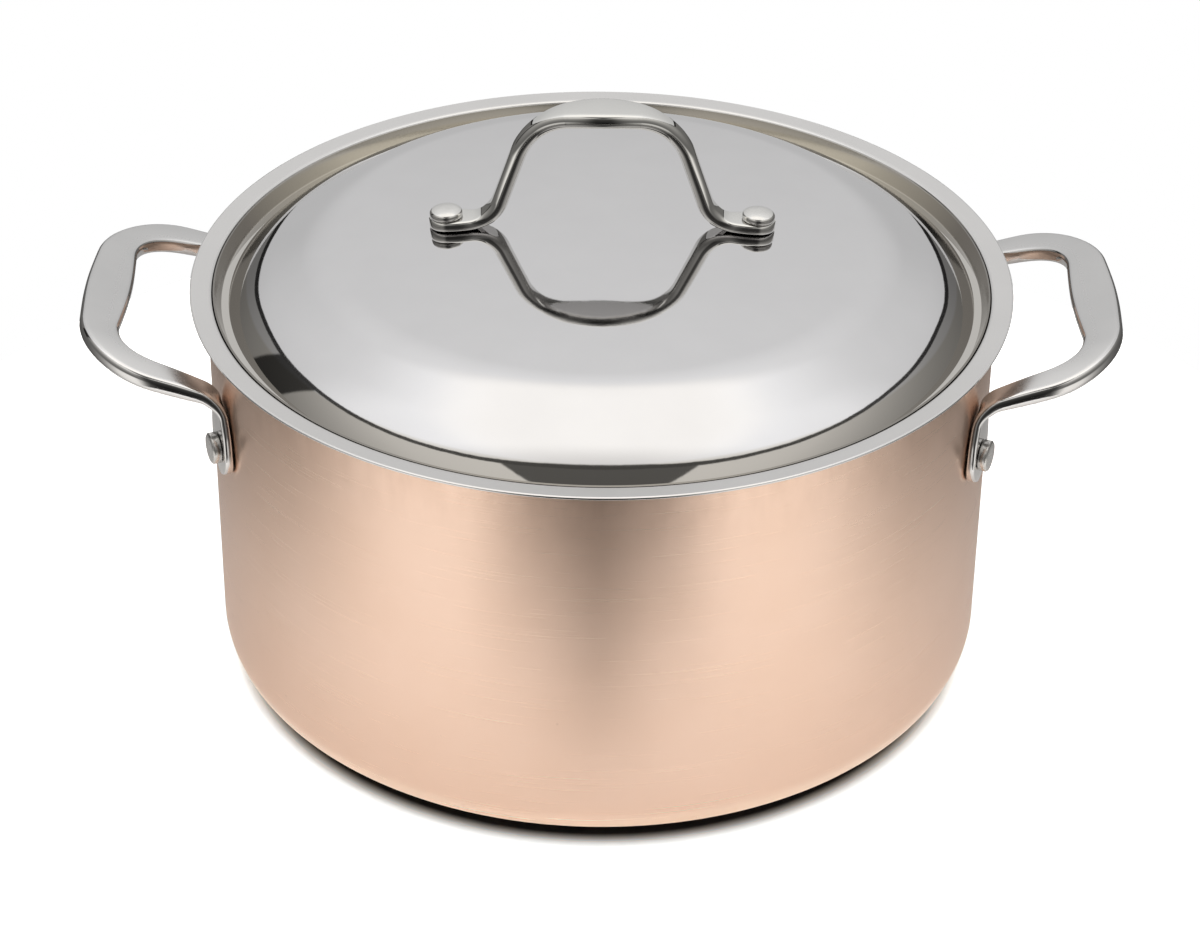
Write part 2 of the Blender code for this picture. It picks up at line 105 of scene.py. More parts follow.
def cup_line(radius, floor, floor_steps, corner_steps):
    """Points from the axis along a floor and round the base corner to the foot of a wall."""
    corner = radius - CORNER_CENTRE
    line = [(0.0, floor)] + straight((0.0, floor), (CORNER_CENTRE, floor), floor_steps)
    return line + bend((CORNER_CENTRE, floor + corner), corner, -90, 0, corner_steps)


print("a quarter round in 3 steps:", len(bend((0, 0), MM, 0, 90, 3)), "points")

# %% Spin a section, and handle the piece it makes
AROUND = 256
SAME_POINT = 1e-6


def spin_section(name, section, around=AROUND):
    """Draw (radius, height) points as a line and spin it about Z into one closed skin."""
    bpy.ops.object.select_all(action="DESELECT")
    bpy.ops.mesh.primitive_plane_add(size=MM)
    piece = bpy.context.object
    piece.name = piece.data.name = name
    bpy.ops.object.mode_set(mode="EDIT")
    bpy.ops.mesh.merge(type="CENTER")
    bpy.ops.transform.translate(value=(section[0][0], 0.0, section[0][1]))
    for here, there in zip(section, section[1:]):
        step = (there[0] - here[0], 0.0, there[1] - here[1])
        bpy.ops.mesh.extrude_region_move(TRANSFORM_OT_translate={"value": step})
    bpy.ops.mesh.select_all(action="SELECT")
    bpy.ops.mesh.spin(
        steps=around, angle=math.tau, center=(0, 0, 0), axis=(0, 0, 1), use_auto_merge=True
    )
    close_skin()
    return piece


def close_skin():
    """Merge what falls together, point the faces outwards and leave edit mode."""
    bpy.ops.mesh.select_all(action="SELECT")
    bpy.ops.mesh.remove_doubles(threshold=SAME_POINT)
    bpy.ops.mesh.normals_make_consistent(inside=False)
    bpy.ops.object.mode_set(mode="OBJECT")


def pick(piece):
    """Select one piece alone and make it the active one."""
    bpy.ops.object.select_all(action="DESELECT")
    piece.select_set(True)
    bpy.context.view_layer.objects.active = piece


def smooth_rounds(piece, degrees=30.0):
    """Shade rounds as smooth and leave true corners sharp."""
    pick(piece)
    bpy.ops.object.shade_smooth_by_angle(angle=math.radians(degrees))


def place_on(piece, matrix):
    """Carry a piece modelled at the origin to its place, with the place in its mesh."""
    piece.matrix_world = matrix
    pick(piece)
    bpy.ops.object.transform_apply(location=True, rotation=True, scale=True)


print("round pieces get", AROUND, "steps around")

# %% [markdown]
# ## The steel liner and its lip
#
# The liner is the pot's cooking surface. At the top the sheet turns out over the wall into a
# flat lip, which lets food pour without dripping. The lip rises slightly outwards, its inner
# corner is a soft round that the lid rests on, and its outer edge is just broken by hand.

# %% Liner section
EDGE_BREAK = 0.3 * MM
EDGE_BEVEL = 0.55 * MM
BEVEL_BELLY = (0.06 * MM, 0.27 * MM)
BEVEL_DROP = 0.40 * MM
WALL_STEPS = 36
LINER_STEPS = (24, 14)


def lip_top(radius):
    return POT_HEIGHT - (LIP_EDGE - radius) * LIP_RISE


def lip_under(radius):
    return lip_top(radius) - LIP_THICKNESS


lip_round_reach = BORE + LIP_ROUND
lip_round_drop = LIP_ROUND / math.cos(math.atan(LIP_RISE))
lip_round_centre = (lip_round_reach, lip_top(lip_round_reach) - lip_round_drop)
liner_section = cup_line(BORE, LINER_FLOOR, *LINER_STEPS)
liner_section += straight(liner_section[-1], (BORE, lip_round_centre[1]), WALL_STEPS)
liner_section += bend(lip_round_centre, LIP_ROUND, 180, 95, 10)
lip_end = (LIP_EDGE - EDGE_BEVEL, lip_top(LIP_EDGE - EDGE_BEVEL))
liner_section += line_to(liner_section, lip_end, 6)
liner_section += [(LIP_EDGE - BEVEL_BELLY[0], lip_end[1] - BEVEL_BELLY[1])]
liner_section += [(LIP_EDGE, lip_end[1] - BEVEL_DROP)]
lower_break = lip_under(LIP_EDGE - EDGE_BREAK) + EDGE_BREAK
liner_section += bend((LIP_EDGE - EDGE_BREAK, lower_break), EDGE_BREAK, 0, -90, 5)
hem = SHELL_INSIDE - LINER_OUTSIDE
liner_section += straight(liner_section[-1], (SHELL_INSIDE, lip_under(SHELL_INSIDE)), 5)
liner_section += bend((SHELL_INSIDE, lip_under(SHELL_INSIDE) - hem), hem, 90, 180, 6)
underside = cup_line(LINER_OUTSIDE, LINER_UNDERSIDE, *LINER_STEPS)[::-1]
liner_section += straight(liner_section[-1], underside[0], WALL_STEPS) + underside
pot_liner = spin_section("pot_liner", liner_section)
print("liner faces:", len(pot_liner.data.polygons))

# %% [markdown]
# ## The copper outside
#
# The outer layer is one copper cup: flat base, a soft corner where the base turns up, and a
# straight wall that stops just below the lip. It is spun like the liner. The corner's round
# matters, because it shades the floor under the pot; the tight dark line where the pot stands
# is also a painted shadow on the card.

# %% Copper section
COPPER_TOP = lip_under(SHELL_INSIDE) - GAP
COPPER_FLOOR = 0.6 * MM
COPPER_EDGE = 0.15 * MM
copper_section = cup_line(SHELL_INSIDE, COPPER_FLOOR, 16, 16)
copper_section += straight(copper_section[-1], (SHELL_INSIDE, COPPER_TOP), WALL_STEPS)
for edge_centre, turn_from in ((SHELL_INSIDE + COPPER_EDGE, 180), (WALL - COPPER_EDGE, 90)):
    copper_section += bend(
        (edge_centre, COPPER_TOP - COPPER_EDGE), COPPER_EDGE, turn_from, turn_from - 90, 3
    )
base = cup_line(WALL, 0.0, 16, 20)[::-1]
copper_section += straight(copper_section[-1], base[0], WALL_STEPS) + base
copper_outside = spin_section("copper_outside", copper_section)
print("copper faces:", len(copper_outside.data.polygons))

# %% [markdown]
# ## The lid
#
# The lid is a single pressed sheet, polished like a mirror, so its exact curve decides what
# the viewer sees in it. From the middle outwards it has a nearly flat crown, a tight
# shoulder, a short straight cone and a long easy skirt. The skirt ends at a flat ledge that
# sits inside the pot, and a collar stands up from the ledge and leans on the lip's round.
# Each round is drawn by its slope, so that neighbours meet without a kink, and fine steps
# keep the reflections smooth.

# %% Sizes of the lid
SHEET = 0.7 * MM
LEDGE_HEIGHT = POT_HEIGHT - 6.3 * MM
LEDGE_OUT = BORE - 2.8 * MM
LEDGE_IN = LEDGE_OUT - 2.6 * MM
COLLAR_HEIGHT = POT_HEIGHT - 0.9 * MM
SKIRT_ROUND = 76.5 * MM
CONE = 10.0 * MM
SHOULDER_ROUND = 31.4 * MM
CROWN_ROUND = 1.0
SKIRT_SLOPE = math.radians(45.0)
CONE_SLOPE = math.radians(29.5)
CROWN_RINGS = 64
LID_ROUND_STEPS = 20

cone_foot = LEDGE_IN - SKIRT_ROUND * (math.sin(SKIRT_SLOPE) - math.sin(CONE_SLOPE))
cone_head = cone_foot - CONE
crown_slope = math.asin(
    (cone_head - SHOULDER_ROUND * math.sin(CONE_SLOPE)) / (CROWN_ROUND - SHOULDER_ROUND)
)
crown_rim = CROWN_ROUND * math.sin(crown_slope)
cone_foot_height = LEDGE_HEIGHT + SKIRT_ROUND * (math.cos(CONE_SLOPE) - math.cos(SKIRT_SLOPE))
cone_head_height = cone_foot_height + CONE * math.tan(CONE_SLOPE)
shoulder_rise = SHOULDER_ROUND * (math.cos(crown_slope) - math.cos(CONE_SLOPE))
crown_rim_height = cone_head_height + shoulder_rise


def crown_height(radius):
    drop = CROWN_ROUND * (math.cos(crown_slope) - math.sqrt(1 - (radius / CROWN_ROUND) ** 2))
    return crown_rim_height - drop


print("the crown rises", round(crown_height(0.0) - POT_HEIGHT, 4), "m over the lip")

# %% Lines of the lid
def slope_round(start, radius, slope, end_slope, steps):
    """Walk outwards and down while the slope grows along a round, start left out."""
    points = []
    for step in range(1, steps + 1):
        now = slope + (end_slope - slope) * step / steps
        out = radius * (math.sin(now) - math.sin(slope))
        drop = radius * (math.cos(slope) - math.cos(now))
        points.append((start[0] + out, start[1] - drop))
    return points


def lean_of_collar():
    """Slope of the collar when its outer face just clears the lip's round."""
    across = lip_round_centre[0] - LEDGE_OUT
    rise = lip_round_centre[1] - LEDGE_HEIGHT
    clear = LIP_ROUND + GAP + SHEET
    return math.atan2(rise, across) + math.asin(clear / math.hypot(across, rise))


def parallel(section, distance):
    """The same line moved to the right of its direction of travel by the sheet's thickness."""
    places = [Vector(point) for point in section]
    runs = [(there - here).normalized() for here, there in zip(places, places[1:])]
    sides = [Vector((run.y, -run.x)) for run in [runs[0]] + runs + [runs[-1]]]
    moved = []
    for here, before, after in zip(places, sides, sides[1:]):
        middle = (before + after).normalized()
        moved.append(tuple(here + middle * distance / middle.dot(before)))
    return moved


print("the collar leans", round(math.degrees(lean_of_collar()), 1), "degrees from flat")

# %% Lid section
rings = [crown_rim * ring / CROWN_RINGS for ring in range(CROWN_RINGS + 1)]
lid_top = [(radius, crown_height(radius)) for radius in rings]
lid_top += slope_round(lid_top[-1], SHOULDER_ROUND, crown_slope, CONE_SLOPE, LID_ROUND_STEPS)
lid_top += line_to(lid_top, (cone_foot, cone_foot_height), 5)
lid_top += slope_round(lid_top[-1], SKIRT_ROUND, CONE_SLOPE, SKIRT_SLOPE, LID_ROUND_STEPS)
lid_top += line_to(lid_top, (LEDGE_OUT, LEDGE_HEIGHT), 3)
collar_rise = COLLAR_HEIGHT - LEDGE_HEIGHT
collar_head = (LEDGE_OUT + collar_rise / math.tan(lean_of_collar()), COLLAR_HEIGHT)
lid_top += line_to(lid_top, collar_head, 4)
lid_under = parallel(lid_top, SHEET)
lid_under[0] = (0.0, lid_under[0][1])
lid_sheet = spin_section("lid_sheet", lid_top + lid_under[::-1])
print("lid faces:", len(lid_sheet.data.polygons), "top of the crown:", round(lid_top[0][1], 5))

# %% [markdown]
# ## Bent straps
#
# All three handles are bent from flat bar. Each one follows a line of straight runs and round
# bends. The bar's section is a rectangle with rounded edges whose width and thickness change
# along the way: wide round feet for the rivets, a slim neck, and a broad grip. The first
# section is a ring primitive that is filled and extruded from station to station. A second
# half is its mirror image, so both ends come out alike.

# %% The line that a strap follows
RUN_STEPS = 6
BEND_STEPS = 20


def add_run(route, end, direction, end_progress):
    """Stations between the route's last one and the end of a straight run."""
    start, _, progress = route[-1]
    for step in range(1, RUN_STEPS):
        share = step / RUN_STEPS
        now = progress + (end_progress - progress) * share
        route.append((start.lerp(end, share), direction, now))


def bend_route(corners, radii):
    """Stations (place, direction, progress) along straight runs joined by rounds."""
    route = [(corners[0], (corners[1] - corners[0]).normalized(), 0.0)]
    for index in range(1, len(corners) - 1):
        here = corners[index]
        arriving = (here - corners[index - 1]).normalized()
        leaving = (corners[index + 1] - here).normalized()
        turn = arriving.angle(leaving)
        radius = radii[index - 1]
        reach = radius * math.tan(turn / 2)
        centre = here + (leaving - arriving).normalized() * radius / math.cos(turn / 2)
        spoke = here - arriving * reach - centre
        axis = arriving.cross(leaving).normalized()
        run_in = reach / (here - corners[index - 1]).length
        run_out = reach / (corners[index + 1] - here).length
        add_run(route, centre + spoke, arriving, index - run_in)
        for step in range(BEND_STEPS + 1):
            turned = Matrix.Rotation(turn * step / BEND_STEPS, 3, axis)
            past_corner = 2 * step / BEND_STEPS - 1
            progress = index + past_corner * (run_in if past_corner < 0 else run_out)
            route.append((centre + turned @ spoke, turned @ arriving, progress))
    last = float(len(corners) - 1)
    add_run(route, corners[-1], leaving, last)
    return route + [(corners[-1], leaving, last)]


print("each bend has", BEND_STEPS + 1, "stations")

# %% The bar's section along that line
EDGE_POINTS = 5
FOOT_STEPS = 9
FOOT_START = 7.0


def along(table, progress):
    """Read a value eased between the rows (progress, value) of a table."""
    for (start, low), (end, high) in zip(table, table[1:]):
        if progress <= end:
            share = min(max((progress - start) / (end - start), 0.0), 1.0)
            return low + (high - low) * share * share * (3 - 2 * share)
    return table[-1][1]


def bar_section(centre, across, normal, width, thickness, edge):
    """Points round a flat bar with four rounded edges."""
    cut = min(edge, width * 0.45, thickness * 0.45)
    points = []
    for quarter, (side, level) in enumerate(((1, 1), (-1, 1), (-1, -1), (1, -1))):
        for step in range(EDGE_POINTS + 1):
            angle = math.pi / 2 * (quarter + step / EDGE_POINTS)
            out = side * (width / 2 - cut) + cut * math.cos(angle)
            rise = level * (thickness / 2 - cut) + cut * math.sin(angle)
            points.append(centre + across * out + normal * rise)
    return points


def strap_sections(route, across_at, *tables):
    """Half a strap: its half round foot, then each station, sized by tables in millimetres."""
    tip, direction, _ = route[0]
    across = across_at(direction, 0.0)
    normal = direction.cross(across)
    width, depth, edge = (rows[0][1] * MM for rows in tables)
    sections = []
    for step in range(FOOT_STEPS):
        angle = math.radians(FOOT_START + (90.0 - FOOT_START) * step / FOOT_STEPS)
        here = tip - direction * (width / 2 * math.cos(angle))
        sections.append(bar_section(here, across, normal, width * math.sin(angle), depth, edge))
    for centre, direction, progress in route:
        across = across_at(direction, progress)
        sizes = [along(rows, progress) * MM for rows in tables]
        sections.append(bar_section(centre, across, direction.cross(across), *sizes))
    return sections


print("a bar section has", 4 * (EDGE_POINTS + 1), "points")

# %% Extrude a strap
def put_ring(mesh_edit, section):
    """Move the selected ring of corners onto a section, in their order round the bar."""
    ring = sorted((corner for corner in mesh_edit.verts if corner.select), key=lambda c: c.index)
    for corner, point in zip(ring, section):
        corner.co = point


def extrude_strap(name, sections):
    """Start from a filled ring, extrude it from section to section and close the skin."""
    bpy.ops.object.select_all(action="DESELECT")
    bpy.ops.mesh.primitive_circle_add(vertices=len(sections[0]), radius=MM, fill_type="NGON")
    strap = bpy.context.object
    strap.name = strap.data.name = name
    bpy.ops.object.mode_set(mode="EDIT")
    mesh_edit = bmesh.from_edit_mesh(strap.data)
    put_ring(mesh_edit, sections[0])
    for section in sections[1:]:
        bpy.ops.mesh.extrude_region_move(TRANSFORM_OT_translate={"value": (0, 0, 0)})
        mesh_edit = bmesh.from_edit_mesh(strap.data)
        mesh_edit.verts.index_update()
        put_ring(mesh_edit, section)
        bmesh.update_edit_mesh(strap.data)
    close_skin()
    return strap


def both_halves(half, flip):
    """A row of sections and its mirror image, as one row from foot to foot."""
    turned = [[Vector(a * b for a, b in zip(point, flip)) for point in row] for row in half[:-1]]
    return half + turned[::-1]


print("a foot has", FOOT_STEPS, "sections")

# %% [markdown]
# ## Side handles
#
# Each side handle is a loop with a foot at each end. The feet lie flat against the wall, in
# line with their rivets, and splay apart slightly. The loop rises a little as it leaves the
# pot, so that knuckles clear the wall, and the grip is widest in the middle where the fingers
# close round it. Between foot and loop the bar twists from upright to flat.

# %% Sizes of a side handle
RIVET_HEIGHT = POT_HEIGHT - 41.2 * MM
RIVET_OFFSET = 53.3 * MM
FOOT_AZIMUTH = math.asin(RIVET_OFFSET / WALL)
FOOT_THICKNESS = 3.2 * MM
FOOT_WIDTH = 15.5 * MM
FOOT_BELOW_RIVET = 10.5 * MM
FOOT_SPLAY = math.radians(6.0)
LOOP_THICKNESS = 6.1 * MM
LOOP_TILT = math.radians(16.4)
LOOP_REACH = 36.7 * MM
LOOP_DROP = 5.8 * MM
LOOP_HALF_LENGTH = 47.0 * MM
SIDE_BENDS = (9.5 * MM, 26.0 * MM)
SIDE_WIDTHS = [(0, 15.5), (0.3, 15.5), (1.05, 10.2), (1.6, 13.2), (2.0, 12.4), (3.0, 16.8)]
SIDE_DEPTHS = [(0, 3.2), (0.7, 3.2), (1.4, 6.1), (3.0, 6.1)]
SIDE_EDGES = [(0, 1.1), (0.6, 1.3), (1.4, 2.3), (3.0, 2.3)]
SIDE_TWIST = [(0.6, 0.0), (1.3, 1.0)]
UP = Vector((0.0, 0.0, 1.0))
print("rivets", round(2 * RIVET_OFFSET, 4), "m apart, grip", LOOP_REACH, "m from the wall")

# %% Side handle stations
def side_sections():
    """Sections of half a handle, from the tip of the rear foot to the middle of the grip."""
    outward = Vector((math.cos(FOOT_AZIMUTH), math.sin(FOOT_AZIMUTH), 0.0))
    rivet = outward * (WALL + GAP + FOOT_THICKNESS / 2) + UP * RIVET_HEIGHT
    lean = UP - UP.cross(outward) * math.tan(FOOT_SPLAY)
    grip_x = WALL + LOOP_REACH
    grip_z = POT_HEIGHT - LOOP_DROP - LOOP_THICKNESS / 2
    rise = grip_z - (grip_x - rivet.x) * math.tan(LOOP_TILT) - rivet.z
    corners = [
        rivet - lean.normalized() * (FOOT_BELOW_RIVET - FOOT_WIDTH / 2),
        rivet + lean * rise,
        Vector((grip_x, LOOP_HALF_LENGTH, grip_z)),
        Vector((grip_x, 0.0, grip_z)),
    ]
    route = bend_route(corners, SIDE_BENDS)
    flat_up = Vector((-math.sin(LOOP_TILT), 0.0, math.cos(LOOP_TILT)))
    foot_across = outward.cross(-route[0][1])

    def across_at(direction, progress):
        wanted = foot_across.lerp(flat_up.cross(direction), along(SIDE_TWIST, progress))
        return (wanted - direction * wanted.dot(direction)).normalized()

    return strap_sections(route, across_at, SIDE_WIDTHS, SIDE_DEPTHS, SIDE_EDGES)


right_loop = extrude_strap("right_loop", both_halves(side_sections(), (1, -1, 1)))
pick(right_loop)
bpy.ops.object.duplicate(linked=False)
left_loop = bpy.context.object
left_loop.name = left_loop.data.name = "left_loop"
place_on(left_loop, Matrix.Rotation(math.pi, 4, "Z"))
print("side loop faces:", len(right_loop.data.polygons))

# %% [markdown]
# ## Lid handle
#
# The lid's loop is bent from a slimmer bar. It stands along X on two round feet, its legs
# lean together, and the grip on top is arched and lens shaped: widest in the middle, drawn in
# towards the legs. Its edges are strongly rounded, so it catches long thin highlights.

# %% Sizes of the lid handle
LID_RIVET = 55.6 * MM
LID_FOOT_THICKNESS = 4.0 * MM
LID_BAR = 5.8 * MM
LID_LEG_FOOT = 39.2 * MM
LID_SHOULDER = 25.7 * MM
LID_LOOP_HEIGHT = 47.0 * MM
LID_ARCH = 85.0 * MM
LID_GRIP_SLOPE = math.radians(9.0)
LID_BENDS = (12.5 * MM, 23.0 * MM, LID_ARCH)
LID_WIDTHS = [(0, 12.5), (0.15, 12.5), (1.0, 9.0), (1.4, 8.0), (1.85, 8.0), (3.0, 16.5)]
LID_DEPTHS = [(0, 4.0), (0.6, 4.0), (1.2, 5.8), (3.0, 5.8)]
LID_EDGES = [(0, 1.7), (0.6, 1.7), (1.3, 2.6), (3.0, 2.6)]
print("lid rivets", 2 * LID_RIVET, "m apart, loop", LID_LOOP_HEIGHT, "m high")

# %% Lid handle stations
def lid_seat(side):
    """Frame on the crown at a lid rivet: origin on the sheet, Z square to it."""
    tilt = side * math.asin(LID_RIVET / CROWN_ROUND)
    seat = Matrix.Translation((side * LID_RIVET, 0.0, crown_height(LID_RIVET)))
    return seat @ Matrix.Rotation(tilt, 4, "Y")


def lid_sections():
    """Sections of half the lid's loop, from the tip of a foot to the middle of the grip."""
    seat = lid_seat(1)
    rivet = seat @ Vector((0.0, 0.0, GAP + LID_FOOT_THICKNESS / 2))
    inward = (seat.to_3x3() @ Vector((-1.0, 0.0, 0.0))).normalized()
    base = rivet + inward * (rivet.x - LID_LEG_FOOT) / -inward.x
    top = crown_height(0.0) + LID_LOOP_HEIGHT - LID_BAR / 2
    peak = Vector((0.0, 0.0, top + LID_ARCH * (1 / math.cos(LID_GRIP_SLOPE) - 1)))
    shoulder = Vector((LID_SHOULDER, 0.0, peak.z - LID_SHOULDER * math.tan(LID_GRIP_SLOPE)))
    corners = [rivet, base, shoulder, peak, Vector((-shoulder.x, 0.0, shoulder.z))]
    route = bend_route(corners, LID_BENDS)
    middle = next(i for i, station in enumerate(route) if station[0].x < SAME_POINT)

    def across_at(direction, progress):
        return Vector((0.0, 1.0, 0.0))

    return strap_sections(route[:middle + 1], across_at, LID_WIDTHS, LID_DEPTHS, LID_EDGES)


lid_loop = extrude_strap("lid_loop", both_halves(lid_sections(), (-1, 1, 1)))
print("lid loop faces:", len(lid_loop.data.polygons))

# %% [markdown]
# ## Rivets
#
# A rivet is a headed pin. Its shank goes through foot and wall, and its tail is hammered over
# on the inside. The side rivets have flat turned heads with a narrow chamfer, and the lid's
# rivets have low domed heads. One rivet of each kind is spun about Z and then copied into
# place, each copy with its own mesh.

# %% Rivet sections
FOOT_FACE = WALL + GAP + FOOT_THICKNESS
HEAD = 5.65 * MM
HEAD_HEIGHT = 3.1 * MM
CHAMFER = 0.5 * MM
CHAMFER_SAG = 0.03 * MM
NICK = 0.1 * MM
SHANK = 3.0 * MM
TAIL = 5.0 * MM
TAIL_HEIGHT = 1.5 * MM
LID_HEAD = 5.9 * MM
LID_HEAD_DOME = 2.2 * MM
LID_HEAD_BARREL = 1.2 * MM
LID_NICK = 0.2 * MM
LID_SHANK = 2.5 * MM
LID_TAIL = 4.2 * MM
LID_TAIL_HEIGHT = 1.2 * MM


def low_dome(radius, height, rise, steps):
    """Points of a low dome from its rim, left out, to the axis. A minus rise hangs down."""
    rim_to_top = bend((0.0, 0.0), 1.0, 0, 90, steps)[1:-1]
    return [(radius * x, height + rise * y) for x, y in rim_to_top] + [(0.0, height + rise)]


seat = FOOT_FACE + GAP
face = seat + HEAD_HEIGHT
tail_seat = math.sqrt(BORE ** 2 - TAIL ** 2) - GAP
side_pin = [
    (0.0, face), (HEAD * 0.5, face), (HEAD - CHAMFER - NICK, face),
    (HEAD - CHAMFER, face - CHAMFER_SAG), (HEAD - CHAMFER_SAG, face - CHAMFER),
    (HEAD, face - CHAMFER - NICK), (HEAD, seat + NICK), (HEAD - NICK, seat),
    (SHANK, seat), (SHANK, tail_seat), (TAIL, tail_seat),
] + low_dome(TAIL, tail_seat, -TAIL_HEIGHT, 8)

lid_head_seat = GAP + LID_FOOT_THICKNESS + GAP
lid_barrel_top = lid_head_seat + LID_HEAD_BARREL
lid_tail_seat = -SHEET - GAP
lid_pin = low_dome(LID_HEAD, lid_barrel_top, LID_HEAD_DOME, 14)[::-1] + [
    (LID_HEAD, lid_barrel_top), (LID_HEAD, lid_head_seat + LID_NICK),
    (LID_HEAD - LID_NICK, lid_head_seat), (LID_SHANK, lid_head_seat),
    (LID_SHANK, lid_tail_seat), (LID_TAIL, lid_tail_seat),
] + low_dome(LID_TAIL, lid_tail_seat, -LID_TAIL_HEIGHT, 8)
print("points of a side rivet:", len(side_pin), "and of a lid rivet:", len(lid_pin))

# %% Copy the rivets into place
RIVET_AROUND = 64


def rivet_frame(azimuth):
    """Frame on the pot's axis at rivet height, with Z pointing out through the rivet."""
    height = Matrix.Translation((0.0, 0.0, RIVET_HEIGHT))
    return height @ Matrix.Rotation(azimuth, 4, "Z") @ Matrix.Rotation(math.pi / 2, 4, "Y")


side_places = {
    "right_front": rivet_frame(-FOOT_AZIMUTH),
    "right_rear": rivet_frame(FOOT_AZIMUTH),
    "left_front": rivet_frame(math.pi + FOOT_AZIMUTH),
    "left_rear": rivet_frame(math.pi - FOOT_AZIMUTH),
}
lid_places = {"lid_left": lid_seat(-1), "lid_right": lid_seat(1)}


def rivet_set(section, places):
    """Spin one rivet, copy it for each place and drop the pattern piece."""
    pattern = spin_section("rivet_pattern", section, RIVET_AROUND)
    made = {}
    for place, matrix in places.items():
        copy = bpy.data.objects.new(place + "_pin", pattern.data.copy())
        copy.data.name = copy.name
        bpy.context.scene.collection.objects.link(copy)
        place_on(copy, matrix)
        made[place] = copy
    bpy.data.objects.remove(pattern, do_unlink=True)
    return made


side_pins = rivet_set(side_pin, side_places)
lid_pins = rivet_set(lid_pin, lid_places)
print("rivets:", sorted(side_pins) + sorted(lid_pins))

# %% [markdown]
# ## Rivet holes
#
# Every fine piece that a rivet goes through is drilled, with a little clearance round the shank.
# A drill is a short cylinder used as the cutter of a Boolean modifier, which is applied
# before the drill is taken away.

# %% Drill the holes
CLEARANCE = 0.3 * MM
PAST_FACE = 3 * MM
PIN_SMOOTHING = 50.0


def drill(pieces, matrix, radius, low, high):
    """Cut one round hole through several pieces, along Z of the given frame."""
    bpy.ops.object.select_all(action="DESELECT")
    bpy.ops.mesh.primitive_cylinder_add(
        vertices=48, radius=radius, depth=high - low, location=(0, 0, (high + low) / 2)
    )
    bit = bpy.context.object
    bpy.ops.object.transform_apply(location=True, rotation=True, scale=True)
    place_on(bit, matrix)
    for piece in pieces:
        cut = piece.modifiers.new("rivet hole", "BOOLEAN")
        cut.operation = "DIFFERENCE"
        cut.solver = "EXACT"
        cut.object = bit
        pick(piece)
        bpy.ops.object.modifier_apply(modifier=cut.name)
    bpy.data.objects.remove(bit, do_unlink=True)


for place, matrix in side_places.items():
    loop = right_loop if place.startswith("right") else left_loop
    drill([pot_liner, copper_outside, loop], matrix, SHANK + CLEARANCE,
          BORE - PAST_FACE, FOOT_FACE + PAST_FACE)
for place, matrix in lid_places.items():
    drill([lid_sheet, lid_loop], matrix, LID_SHANK + CLEARANCE,
          -SHEET - PAST_FACE, LID_FOOT_THICKNESS + PAST_FACE)
for piece in (pot_liner, copper_outside, lid_sheet, right_loop, left_loop, lid_loop):
    smooth_rounds(piece)
for pin in list(side_pins.values()) + list(lid_pins.values()):
    smooth_rounds(pin, PIN_SMOOTHING)
print("holes drilled:", len(side_places) + len(lid_places))

# %% [markdown]
# ## Short words for shader nodes
#
# Materials, card and sky are drawn with nodes, which take many lines in code. Each helper
# below adds one node to the tree given first: a plain value is typed in, and the output of
# another node is linked.

# %% Node helpers
def fill(tree, node, inputs):
    """Type plain values into a node's inputs, and link the rest to other nodes."""
    for slot, value in inputs.items():
        socket = node.inputs[slot]
        if isinstance(value, bpy.types.NodeSocket):
            tree.links.new(value, socket)
        elif socket.type == "RGBA":
            socket.default_value = (*value, 1.0)
        else:
            socket.default_value = value


def add(tree, kind, inputs, **settings):
    """A new shader node with its settings and inputs."""
    node = tree.nodes.new("ShaderNode" + kind)
    for name, value in settings.items():
        setattr(node, name, value)
    fill(tree, node, inputs)
    return node


def calc(tree, kind, *values):
    """The result of one Math node."""
    return add(tree, "Math", dict(enumerate(values)), operation=kind).outputs[0]


def overlap(tree, *masks):
    """Where all the masks hold, which is their product."""
    product = masks[0]
    for mask in masks[1:]:
        product = calc(tree, "MULTIPLY", product, mask)
    return product


def ramp(tree, value, start, end, low=0.0, high=1.0, kind="LINEAR"):
    """Go from low to high while the value goes from start to end."""
    inputs = {"Value": value, "From Min": start, "From Max": end, "To Min": low, "To Max": high}
    return add(tree, "MapRange", inputs, interpolation_type=kind).outputs["Result"]


def fade(tree, value, start, end, low=0.0, high=1.0):
    """The same with soft ends."""
    return ramp(tree, value, start, end, low, high, "SMOOTHSTEP")


def vary(tree, noise_value, low=0.0, high=1.0):
    """Spread a noise over low to high. Most of a noise lies between 0.3 and 0.7."""
    return ramp(tree, noise_value, 0.3, 0.7, low, high)


def blend(tree, factor, first, second, kind="FLOAT"):
    """Go from the first value to the second while the factor goes from 0 to 1."""
    inputs = {"Factor": factor, "A": first, "B": second}
    return add(tree, "Mix", inputs, data_type=kind).outputs["Result"]


def tint(tree, factor, first, second):
    """The same for colours."""
    return blend(tree, factor, first, second, "RGBA")


print("node helpers ready")

# %% Helpers for patterns on a piece
FLAT = (1.0, 1.0, 0.0)


def on_piece(tree):
    """The place of a point on the piece itself."""
    return add(tree, "TexCoord", {}).outputs["Object"]


def parts(tree, vector):
    """X, Y and Z of a vector."""
    return add(tree, "SeparateXYZ", {0: vector}).outputs


def flattened(tree, place):
    """A place without its height."""
    return add(tree, "VectorMath", {0: place, 1: FLAT}, operation="MULTIPLY").outputs[0]


def from_axis(tree, place):
    """Distance of a place from the Z axis."""
    return add(tree, "VectorMath", {0: flattened(tree, place)}, operation="LENGTH").outputs["Value"]


def noise(tree, place, scale, detail=2.0, roughness=0.5):
    """A soft noise from 0 to 1."""
    inputs = {"Vector": place, "Scale": scale, "Detail": detail, "Roughness": roughness}
    return add(tree, "TexNoise", inputs).outputs["Fac"]


def relief(tree, height, strength, distance):
    """A normal that follows fine heights."""
    inputs = {"Strength": strength, "Distance": distance, "Height": height}
    return add(tree, "Bump", inputs).outputs["Normal"]


